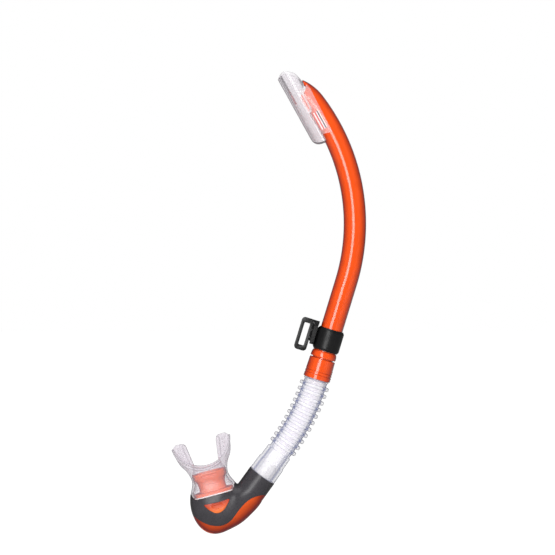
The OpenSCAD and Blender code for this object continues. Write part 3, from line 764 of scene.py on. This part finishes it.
def splash_guard():
    """Clear chimney that clips over the barrel's window: slanted top, and drain holes above its chin."""
    reach, neck, shoulder, top = 22.4, 19.6, 47, 70
    hood = prism("splash_hood", hood_outline(0, reach, 0.5), -10, shoulder, GUARD)
    cut(hood, beside("taper", [(40, -14), (40, 60), (23, 60), (20.4, -14)]))
    join(hood, prism("chimney", hood_outline(0, neck, 5.8), shoulder - 8, top + 2, GUARD))
    cut(hood, beside("under", smooth(CHIN, 5) + [(30, -20), (-3, -20)]))
    inside = prism("inside", hood_outline(GUARD_WALL, reach + 12, 0.5), -12, shoulder - 1.5, GUARD)
    cut(hood, cut(inside, beside("chin", smooth(CHIN_INSIDE, 5) + [(40, -20), (-3, -20)])))
    cut(hood, prism("flue", hood_outline(GUARD_WALL, neck - GUARD_WALL, 4.2), 30, top + 9, GUARD))
    for side in (-1, 1):
        for x in (12.0, 14.6, 17.0):
            low, high = sorted((side * (GUARD_R - 0.4), side * (GUARD_R + 0.4)))
            join(hood, box("rail", (x, low, 3), (x + 1.1, high, 20.6), GUARD))
        low, high = sorted((side * (GUARD_R - 0.5), side * (GUARD_R + 2)))
        cut(hood, prism("panel", rounded(11.8, 24.5, 26, 43.2, 2.8), low, high, GUARD @ SIDEWAYS))
    clearance = rod("clearance", BARREL_R + 0.12, 150, BARREL_LEN + 1, barrel_at)
    cut(hood, cut(clearance, window("kept", 0.12)))
    cut(hood, beside("drain", smooth(DRAIN, 4)))
    cut(hood, beside("skirt", [(11.8, -12), (11.8, -1.2), (19.6, -3.2), (26, -4.6), (30, -12)]))
    cut(hood, beside("crown", smooth(CROWN, 5) + [(40, 42), (40, 90), (-3, 90)]))
    round_edges(hood, 0.25, angle=50)
    return finish_piece(hood, HOOD_CLEAR, "barrel", ["splash_guard"])


# -------- strap keeper

SLEEVE_R = 11.6
BAND_R = 13.0
BAND_LOW = 8.4
BAND_H = 20
RAIL_LOW = 10.2
RAIL_L = 17
HEAD_X = -16.7         # outer face of the rail's head
HEAD_T = 1.8
HEAD_HALF = 4.5
NECK_HALF = 2.5
LOOP_TOP = 33.4
LOOP_LOW = 1.6
SLOT_X = 26.7
SLOT_W = 5.4
SLOT_L = 22
STILE = 3.4


def strap_band():
    """Band with rounded shoulders, and the tee rail that carries the strap loop."""
    inner = SLEEVE_R + 0.06
    depth = BAND_R - inner
    shoulder = 2.0
    curve = [(shoulder * (1 - math.sin(t)), inner + depth * (0.34 + 0.66 * math.cos(t)))
             for t in np.radians(np.linspace(0, 90, 9))]
    outer = [(BAND_LOW + rise, r) for rise, r in reversed(curve)]
    outer += [(BAND_LOW + BAND_H - rise, r) for rise, r in curve]
    profile = [(BAND_LOW, inner)] + outer + [(BAND_LOW + BAND_H, inner)]
    band = swept("strap_band", profile, barrel_at, around=96)
    rail_top = RAIL_LOW + RAIL_L
    join(band, box("neck", (HEAD_X + 1.5, -NECK_HALF, RAIL_LOW), (-12.5, NECK_HALF, rail_top), ON_BARREL))
    join(band, box("head", (HEAD_X, -HEAD_HALF, RAIL_LOW), (HEAD_X + HEAD_T, HEAD_HALF, rail_top), ON_BARREL))
    return finish_piece(band, BLACK, "keeper", ["keeper_band"])


def strap_frame():
    """Frame for the mask strap, with the channel that slides on the rail and its latch steps."""
    outer, inner = -SLOT_X - STILE, -SLOT_X + SLOT_W + STILE
    half_t = 1.8
    plate = prism("strap_frame", rounded(outer, LOOP_LOW, inner, LOOP_TOP, 3.4), -half_t, half_t,
                  ON_BARREL @ SIDEWAYS)
    middle = (LOOP_TOP + LOOP_LOW) / 2
    slot = rounded(-SLOT_X, middle - SLOT_L / 2, -SLOT_X + SLOT_W, middle + SLOT_L / 2, 0.9)
    fit = 0.1
    half_w = HEAD_HALF + fit + 1.6
    low, high = RAIL_LOW + 1, LOOP_TOP - 0.2
    back = HEAD_X + 3.5
    block = [(inner - 1, -half_w + 2), (inner + 0.8, -half_w), (back, -half_w)]
    block += [(x, -y) for x, y in reversed(block)]
    channel = prism("channel", block, low, high, ON_BARREL)
    heel = [(inner - 2, low - 1), (inner - 2, low + 3.4), (HEAD_X + 5, low - 3)]
    cut(channel, prism("heel", heel, -9, 9, ON_BARREL @ SIDEWAYS))
    join(plate, channel)
    bar = (inner - 3.4, -half_t + 0.3, high - 3.8)
    join(plate, box("bar", bar, (-12.9, half_t - 0.3, high + 0.1), ON_BARREL))
    for side in (-1, 1):
        for z, lean in ((LOOP_TOP - 3.4, 32), (LOOP_TOP - 9.5, -28), (low + 4.4, 30)):
            step = leaning((inner + 0.9, side * (half_w - 1.3), z), lean)
            join(plate, box("latch", (-2.3, -1.7, -0.75), (1.7, 1.7, 0.75), ON_BARREL @ step))
    cut(plate, prism("slot", slot, -5, 5, ON_BARREL @ SIDEWAYS))
    head = (HEAD_X - fit, -HEAD_HALF - fit, low - 5)
    rail_top = RAIL_LOW + RAIL_L
    cut(plate, box("head_way", head, (HEAD_X + HEAD_T + fit, HEAD_HALF + fit, rail_top), ON_BARREL))
    neck = (HEAD_X, -NECK_HALF - fit, low - 5)
    cut(plate, box("neck_way", neck, (-5, NECK_HALF + fit, rail_top), ON_BARREL))
    tongue = (HEAD_X - 0.6, -half_w - 1, LOOP_TOP - 5.2 - 16)
    cut(plate, box("tongue_way", tongue, (back + 1, -HEAD_HALF, LOOP_TOP - 4.6), ON_BARREL))
    round_edges(plate, 0.5, angle=50)
    return finish_piece(plate, BLACK, "loop", ["strap_loop"])


# -------- collar and hose

def swivel_collar():
    """Collar with two ring lines near its foot and a grip of short ribs on its outer side."""
    top, foot = -GAP / 2, -GAP / 2 - COLLAR_L
    grooves, groove_depth, groove_half = (12.6, 15.4), 0.35, 0.38
    corner = 0.4
    grip_low, grip_high, grip_pitch, grip_depth = 9, 18.5, 2.2, 0.45

    def radius(d):
        """Outside radius at a distance below the top: a slight flare with rounded ends."""
        r = 12.5 + 0.65 * d / COLLAR_L
        end = min(d, COLLAR_L - d)
        if end < corner:
            r -= corner - math.sqrt(max(corner ** 2 - (corner - end) ** 2, 0))
        near = min(abs(d - g) for g in grooves)
        return r - groove_depth * max(0, 1 - (near / groove_half) ** 2)

    def grip(s, r, turn):
        """Short ribs on the +X side of the outside wall."""
        d = top - s
        if r < 12 or not grip_low < d < grip_high:
            return 0
        sector = max(0, 1 - (min(turn, 2 * math.pi - turn) / 0.5) ** 4)
        return grip_depth * sector * max(0, math.cos(2 * math.pi * (d - 9.8) / grip_pitch)) ** 2

    outer = [(top - d, radius(d)) for d in np.linspace(0, COLLAR_L, 100)]
    inner = [(foot, 11.8), (foot + 8.6, 11.8), (foot + 8.6, 10.05), (-10.1, 10.05), (-10.1, 10.45),
             (-8.5, 10.45), (-8.5, 10.05), (top, 10.05)]
    collar = swept("collar_shell", outer + inner, barrel_at, around=120, relief=grip)
    return finish_piece(collar, ORANGE, "swivel", ["swivel_collar"])


RIB_R = 14.5
RIB_W = 3.3
RIB_FIRST = 7.1
RIB_PITCH = 6.55
RIB_COUNT = 11
HOSE_R = 11.2
HOSE_BORE = 9.55
HOSE_AROUND = 72       # points in each of its rings
CUFF_L = 28


def mark_ribs(tube):
    """Stores where the hose is thick: 0 on its plain wall, 1 on its ribs, and between on its cuff."""
    points = np.array([v.co for v in tube.data.vertices], float)
    rings = points.reshape(-1, HOSE_AROUND, 3)
    radii = np.linalg.norm(rings - rings.mean(axis=1, keepdims=True), axis=2).reshape(-1) / MM
    thick = np.clip((radii - HOSE_R - 0.1) / 0.5, 0, 1)
    below = (np.array(ARC_END * MM) - points) @ np.array(direction(HOSE_LEAN))
    thick[below > (HOSE_END - CUFF_L - 1) * MM] = 0.7
    mark = tube.data.attributes.new("thick", "FLOAT", "POINT")
    mark.data.foreach_set("value", thick.astype(np.float32))


def hose():
    """Ribbed silicone hose, from inside the collar to its cuff on the chamber's inlet."""
    outer = [(-7.9, HOSE_R), (0.3, HOSE_R)]
    bead = np.radians([15, 50, 90, 130, 165])
    outer += [(0.35 + 0.75 * (1 - math.cos(t)), HOSE_R + 1.15 * math.sin(t)) for t in bead]
    outer += [(2.1, HOSE_R), (3.6, HOSE_R)]
    for k in range(RIB_COUNT):
        centre = RIB_FIRST + RIB_PITCH * k
        half = RIB_W / 2
        outer += [(centre - half - 0.35, HOSE_R), (centre - half - 0.05, HOSE_R + 0.35)]
        outer += [(centre - half * math.copysign(abs(math.cos(t)) ** 0.6, math.cos(t)),
                   RIB_R - 1.5 + 1.5 * math.sin(t) ** 0.6) for t in np.radians(np.linspace(0, 180, 11))]
        outer += [(centre + half + 0.05, HOSE_R + 0.35), (centre + half + 0.35, HOSE_R)]
    end = HOSE_ARC + HOSE_END - 0.1
    cuff = end - CUFF_L
    outer += [(cuff, HOSE_R), (cuff + 0.05, 12.3), (cuff + 0.5, 12.7)]
    step_at, step_rise = 12.5, 0.62
    line_pitch, line_rise = 2.6, 0.09
    for d in np.arange(0.9, CUFF_L - 0.5, 0.4):
        wide = 12.7 + 0.02 * d + (step_rise / (1 + math.exp(-(d - step_at) * 4)))
        line = line_rise * math.sin(2 * math.pi * d / line_pitch) ** 8
        outer.append((cuff + d, wide + line))
    outer += [(end - 0.3, 13.65), (end, 13.4)]
    inner = [(s, HOSE_BORE) for s in np.linspace(end, -7.9, 56)]
    tube = swept("ribbed_hose", outer + inner, hose_at, around=HOSE_AROUND)
    finish_piece(tube, HOSE_CLEAR, None, ["flex_tube"], sharp=50)
    mark_ribs(tube)
    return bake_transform(tube)


# -------- drain chamber

AROUND = 96
FAN_STEPS = 7


def fan_ring(section, inset):
    """Ring of the chamber at one section, set inwards."""
    angle, far, depth, square = section
    near, far = CROOK_R + inset, far - inset
    out = direction(90 + angle)
    middle = (far + near) / 2
    return [CROOK + out * (middle + x) + Vector((0, y, 0))
            for x, y in superellipse((far - near) / 2, depth - inset, square, AROUND)]


def chamber_solid(name, inset, hollow=False):
    """Chamber as a solid, set inwards. The hollow runs on past both of its mouths."""
    beyond = 1.0 if hollow else 0.0
    rings = [fan_ring(section, inset) for section in smooth(SECTIONS, FAN_STEPS)]
    inlet = [p + direction(HOSE_LEAN) * (INLET_L + beyond) for p in rings[0]]
    rings = [inlet] + rings
    if hollow:
        rings.append([p + direction(-MOUTH_LEAN) * beyond for p in rings[-1]])
    return loft(name, rings)


def grown(outline, by):
    """Outline set outwards by a distance; its points run anticlockwise."""
    points = [Vector(p) for p in outline]
    moved = []
    for i, p in enumerate(points):
        tangent = (points[(i + 1) % len(points)] - points[i - 1]).normalized()
        moved.append(tuple(p + Vector((tangent.y, -tangent.x)) * by))
    return moved


UNDERSIDE = [(-48, -28), (-42.2, -30.8), (-34.6, -35.4), (-26.6, -38.6), (-18.7, -39.6), (-12.3, -38.6),
             (-6, -34.7), (-0.4, -27.5), (5.2, -20.4), (11.6, -14.8), (18, -12), (24.3, -11.1), (30, -12.6)]
BADGE_EDGE = [(-31.2, -19.6), (-30.2, -21), (-25, -25), (-18.7, -27.1), (-12.5, -24), (-8, -16.6),
              (-7.2, -14.2), (-8.2, -13.6)]
BADGE_TOP = [(-8.2, -13.6), (-12.5, -15.2), (-19, -17.1), (-25.5, -18.4), (-31.2, -19.6)]
CROOK_FRAME = Matrix.Translation(CROOK) @ SIDEWAYS


def underside(name, by=0.0):
    """Prism below the orange cover's edge, with the edge moved outwards."""
    edge = [(p[0], p[1] + by) for p in smooth(UNDERSIDE, 6)]
    outline = [(-60, -28 + by)] + edge + [(45, -16 + by), (45, -80), (-60, -80)]
    return prism(name, outline, -40, 40, CROOK_FRAME)


def badge_prism(name, side, by=0.0):
    """Prism of the half moon on one side of the chamber. Side -1 is the front."""
    outline = [tuple(p) for p in smooth(BADGE_EDGE, 4)[:-1] + smooth(BADGE_TOP, 4)[:-1]]
    low, high = sorted((-side * 6.0, -side * 30.0))
    return prism(name, grown(outline, by), low, high, CROOK_FRAME)


def rim_dip(name, gap):
    """Prism of the dips in the chamber's front and rear rim, drawn in by a gap."""
    half_w = 20.8 - gap
    r = 4
    centre = r + gap - RIM_DIP
    outline = [(-half_w, 3), (-half_w, centre)]
    outline += arc(-half_w + r, centre, r, 180, 270) + arc(half_w - r, centre, r, 270, 360)
    return prism(name, outline + [(half_w, 3)], -30, 30, PORT @ SIDEWAYS)


def vents():
    """Four slots that let the water out."""
    pitch, half_w = 4.6, 1.2
    middles = [pitch * k for k in (-1.5, -0.5, 0.5, 1.5)]
    return [prism("vent", rounded(-7, y - half_w, 8, y + half_w, 1.1), 6, 26, VALVE) for y in middles]


def chamber_body():
    """Grey shell with recesses for the cover and badges, its inlet closed round the clear bush."""
    body = chamber_solid("chamber_shell", 0)
    hollow = chamber_solid("hollow", CHAMBER_WALL, True)
    cut(hollow, box("ledge", (-30, -30, -0.8), (40, 30, 2.5), VALVE))
    cut(body, hollow)
    recess = underside("recess")
    for side in (-1, 1):
        join(recess, badge_prism("badge_recess", side, SEAM))
    cut(recess, chamber_solid("core", SKIN + 0.1))
    cut(body, recess)
    join(body, turned("plug", [(13, -4), (13, -0.3)], ON_INLET))
    cut(body, turned("bore", [(9.6, -10), (9.6, 20)], ON_INLET))
    cut(body, turned("seat_hole", [(12, -4), (12, 0), (13.5, 0), (13.5, 3.6)], VALVE))
    cut(body, *vents())
    cut(body, rim_dip("dip", 0))
    return finish_piece(body, GREY, "chamber", ["chamber_body"])


def purge_cover():
    """Orange underside cover over the purge valve, slotted for the water."""
    cover = common(chamber_solid("underside_cover", 0), underside("edge", -SEAM))
    cut(cover, chamber_solid("core", SKIN))
    cut(cover, *vents())
    return finish_piece(cover, ORANGE_SATIN, "chamber", ["purge_cover"])


def badge(name, side, replaced):
    """Half-moon plate, dished, with three plain ridges across the dish."""
    swell, sink = 0.25, 0.9
    plate = common(chamber_solid(name, -swell), badge_prism("outline", side))
    round_edges(plate, 0.3, angle=60)
    wide, deep, tall = 10.5, 3.4, 5.6
    place = BADGE @ SIDEWAYS
    centre = Matrix.Translation((0, 0, -side * (HALF + swell - sink + deep)))
    rings = [[(wide * math.cos(t) * c, tall * math.cos(t) * d, deep * math.sin(t))
              for c, d in superellipse(1, 1, 2, 64)] for t in np.radians(np.linspace(-88, 88, 25))]
    cut(plate, loft("dish", rings, place @ centre))
    low, high = sorted((-side * 10.0, -side * 30.0))
    for k in range(3):
        ridge = rounded(-5.4 + 1.1 * k, 1.3 - 2.1 * k, 5.4 - 1.1 * k, 2.4 - 2.1 * k, 0.5)
        join(plate, common(chamber_solid("swell", -swell + 0.15), prism("ridge", ridge, low, high, place)))
    cut(plate, chamber_solid("core", SKIN))
    return finish_piece(plate, BADGE_ORANGE, "chamber", [replaced])


# -------- mouthpiece

def stadium(a, b, n=64):
    """Oval with straight sides, with half length a and half height b."""
    quarter = n // 4
    return arc(a - b, 0, b, -90, 90, 2 * quarter - 1) + arc(b - a, 0, b, 90, 270, 2 * quarter - 1)


def mouth_port():
    """Orange port inside the silicone: foot in the chamber's rim, waist, and a grooved lip."""
    outer = [(-8, 19, 11.2), (-5, 19.6, 11.2), (-1.5, 19.6, 11.2), (-1.05, 19.3, 10.9), (-0.95, 18.6, 10.2),
             (-0.9, 14.4, 9.5), (-0.5, 13.5, 9.3), (2, 13, 9.2), (5, 13, 9.2), (8.4, 13.6, 9.4),
             (10, 14.8, 9.8), (11.4, 16, 10.1), (12.6, 16.4, 10.2), (16.8, 16.4, 10.2), (17.4, 16.1, 9.9),
             (17.6, 15.6, 9.4)]
    inner = [(17.6, 12.2, 8.2), (17, 11.6, 7.6), (-7.4, 11.4, 7.4), (-8, 11.8, 7.8)]
    rings = [[(x, y, z) for x, y in stadium(a, b)] for z, a, b in outer + inner]
    port = loft("port_neck", rings, PORT, closed=True)
    for side in (-1, 1):
        for z, half_w, depth in ((14.4, 7.6, 8.9), (5.4, 7.6, 8.0)):
            low, high = sorted((side * depth, side * 14.0))
            groove = rounded(-half_w, z - 1.2, half_w, z + 1.2, 1.15)
            cut(port, prism("groove", groove, low, high, PORT @ SIDEWAYS))
    round_edges(port, 0.3, angle=55)
    return finish_piece(port, SALMON, "chamber", ["mouth_port"])


# Silicone neck and the space inside it, from the top down: height, half width, half depth, squareness
NECK = [(46.5, 28, 12, 2.4), (37.5, 27.2, 12.6, 2.4), (29.5, 24.8, 12.8, 2.4), (21.8, 20.2, 12.4, 2.5),
        (14, 17.9, 12.1, 2.6), (8, 18.8, 12.2, 2.5), (2, 21.6, 13.8, 2.5), (0.05, 22.6, 14.6, 2.5)]
AIRWAY = [(34, 13.4, 8.4, 2.6), (24, 14, 8.6, 2.6), (19.6, 15.4, 9.6, 2.8), (17.9, 16.55, 10.35, 3.4),
          (12, 16.55, 10.35, 3.4), (8, 16.2, 10.3, 3), (4, 18.2, 10.9, 3), (0, 19.75, 11.35, 3.6),
          (-8, 19.75, 11.35, 3.6)]


def oval_loft(name, rows, steps=5):
    """Smooth solid through oval sections of the mouthpiece."""
    return loft(name, [[(x, y, row[0]) for x, y in superellipse(row[1], row[2], row[3], 72)]
                       for row in smooth(rows, steps)], PORT)


def cross_rod(name, x, z, r, half_depth, around=96):
    """Round rod across the mouthpiece."""
    circle = [(x + px, z + pz) for px, pz in superellipse(r, r, 2, around)]
    return prism(name, circle, -half_depth, half_depth, PORT @ SIDEWAYS)


def bite_tab(side):
    """Tab between the teeth, with a raised inner edge and cross nubs."""
    edge = smooth([(12, 27), (13.8, 38), (15.2, 46.6), (17.2, 49), (20.8, 49.4), (24.6, 49.3), (26.8, 47.4),
                   (27.8, 45), (26.6, 39.6), (23.2, 33.6), (19.4, 29.6), (15.4, 26.6), (13, 25.6)], 3)
    tab = prism("tab", [(side * p[0], p[1]) for p in edge], -1.7, 1.7, PORT @ SIDEWAYS)
    ridge = smooth([(12.2, 27.4), (13.6, 37), (15, 46), (16.4, 47.8), (18, 46.4), (16.8, 37), (15.2, 28)], 3)
    join(tab, prism("ridge", [(side * p[0], p[1]) for p in ridge], -4.4, 4.4, PORT @ SIDEWAYS))
    for k in range(4):
        join(tab, cross_rod("nub", side * (20.4 + 0.5 * k), 34 + 3.7 * k, 0.95, 2.6, 20))
    return tab


def mouthpiece():
    """Clear silicone: neck over the port, skirt in the rim's dips, lip flange and bite tabs."""
    skin = oval_loft("mouthpiece_skin", NECK)
    flange_r = LIP_R + LIP_T
    flange = prism("flange", stadium(flange_r, 14.5), LIP_Z - flange_r - 1, 46.5, PORT)
    skin = join(skin, common(flange, cross_rod("flange_curve", 0, LIP_Z, flange_r, 14.5)))
    skirt = prism("skirt", superellipse(MOUTH_W, MOUTH_D - 0.3, 2.5, 72), -RIM_DIP - 0.5, 0.8, PORT)
    join(skin, common(skirt, rim_dip("skirt_edge", 0.15)))
    welt = prism("welt", superellipse(MOUTH_W, MOUTH_D + 0.45, 2.5, 72), -RIM_DIP - 0.5, 0.8, PORT)
    join(skin, cut(common(welt, rim_dip("welt_edge", 0.1)), rim_dip("welt_inside", 1.2)))
    cut(skin, cross_rod("lip_space", 0, LIP_Z, LIP_R, 40))
    cut(skin, oval_loft("airway", AIRWAY))
    join(skin, bite_tab(-1), bite_tab(1))
    melt(skin, 0.5, 4)
    return finish_piece(skin, MOUTH_CLEAR, "chamber", ["mouthpiece"], sharp=80)


# -------- carried-over nodes

CARRIED = {
    "splash_baffle": (BAFFLE, "clear_plastic"),
    "keeper_sleeve": (BLACK_SATIN, "black_satin"),
    "release_tab": (BLACK, "black_gloss"),
    "swivel_seal": (RUBBER, "seal_rubber"),
    "hose_insert": (TUBE_CLEAR, "clear_plastic"),
    "inlet_bush": (TUBE_CLEAR, "clear_plastic"),
    "valve_seat": (ORANGE, "orange_gloss"),
    "purge_valve": (VALVE_CLEAR, "clear_silicone")}


def dress_nodes():
    """Materials of the CAD nodes that are shown as they are."""
    for name, (material, slot) in CARRIED.items():
        obj = frame["nodes"][name]
        obj.data.materials.clear()
        obj.data.materials.append(material)


# -------- stage, light and camera

PICTURE = 0.5328       # width of the view at the object, in metres
VIEW_CENTRE = Vector((-0.0256, 0, 0.054))
CAMERA_AWAY = 1.6
SENSOR = 36.0


def by_ray(tree, kind, value, other):
    """One value for rays of a kind, such as Is Camera Ray, and another for the rest."""
    rays = node(tree, "ShaderNodeLightPath").outputs[kind]
    return mapped(tree, rays, 0, 1, other, value)


def backdrop():
    """Wide floor 0.1 m below the object, which the camera sees as near-white paper."""
    half, floor_z = 9.0, CAD_BOX[0][2] - 0.1
    corners = [(-half, -half), (half, -half), (half, half), (-half, half)]
    sheet = make("backdrop", [(x, y, floor_z) for x, y in corners], [(0, 1, 2, 3)])
    material, tree = new_material("paper")
    tone = spread(tree, grain(tree, 3, 2), 0.88, 0.92)
    lit = reckon(tree, "MULTIPLY", tone, by_ray(tree, "Is Camera Ray", 0.15, 0.5))
    base = node(tree, "ShaderNodeCombineColor", {"Red": lit, "Green": lit, "Blue": lit}).outputs["Color"]
    glow = by_ray(tree, "Is Camera Ray", 1.02, 0.0)
    output(tree, node(tree, "ShaderNodeBsdfPrincipled", {
        "Base Color": base, "Roughness": 0.9, "Specular IOR Level": 0.0,
        "Emission Color": colour(250, 250, 250), "Emission Strength": glow}).outputs["BSDF"])
    sheet.data.materials.append(material)


def area_light(name, place, aim, width, height, power, mirrored=False):
    """Soft box. Only a mirrored one shows in glossy surfaces."""
    data = bpy.data.lights.new(name, "AREA")
    data.shape = "RECTANGLE"
    data.size, data.size_y = width, height
    data.energy = power
    lamp = bpy.data.objects.new(name, data)
    lamp.location = place
    lamp.rotation_euler = (Vector(aim) - Vector(place)).to_track_quat("-Z", "Y").to_euler()
    lamp.visible_glossy = mirrored
    bpy.context.scene.collection.objects.link(lamp)


def lights():
    """Tall strip by the camera for the long highlight, soft fills around it, and a pale world.

    The world is white to the camera, dim in glossy surfaces, and gives the rest an even light.
    """
    area_light("strip", (-0.42, -1.5, 0.15), VIEW_CENTRE, 0.6, 1.7, 20, mirrored=True)
    area_light("left", (-1.4, -1.3, 0.5), VIEW_CENTRE, 0.8, 1.6, 3)
    area_light("right", (1.4, -1.4, 0.4), VIEW_CENTRE, 0.8, 1.6, 7)
    area_light("top", (0, -0.5, 1.9), VIEW_CENTRE, 1.6, 1.4, 10, mirrored=True)
    area_light("rear", (0.5, 1.6, 0.5), VIEW_CENTRE, 0.8, 1.6, 9)
    world = bpy.data.worlds.new("studio")
    bpy.context.scene.world = world
    world.use_nodes = True
    tree = world.node_tree
    surface = tree.nodes["Background"]
    surface.inputs["Color"].default_value = (1, 1, 1, 1)
    seen = by_ray(tree, "Is Camera Ray", 0.64, 0.0)
    cast = by_ray(tree, "Is Glossy Ray", 0.16, 0.36)
    tree.links.new(reckon(tree, "ADD", seen, cast), surface.inputs["Strength"])


def camera():
    """Level, straight-on view from the front."""
    data = bpy.data.cameras.new("camera")
    data.sensor_width = SENSOR
    data.lens = SENSOR * CAMERA_AWAY / PICTURE
    data.clip_start, data.clip_end = 0.05, 30
    eye = bpy.data.objects.new("camera", data)
    eye.location = VIEW_CENTRE + Vector((0, -CAMERA_AWAY, 0))
    eye.rotation_euler = (math.pi / 2, 0, 0)
    bpy.context.scene.collection.objects.link(eye)
    bpy.context.scene.camera = eye
    bpy.context.scene.view_settings.view_transform = "Standard"


barrel()
splash_guard()
strap_band()
strap_frame()
swivel_collar()
hose()
chamber_body()
purge_cover()
badge("badge_plate_front", -1, "badge_front")
badge("badge_plate_rear", 1, "badge_rear")
mouth_port()
mouthpiece()
dress_nodes()
backdrop()
lights()
camera()
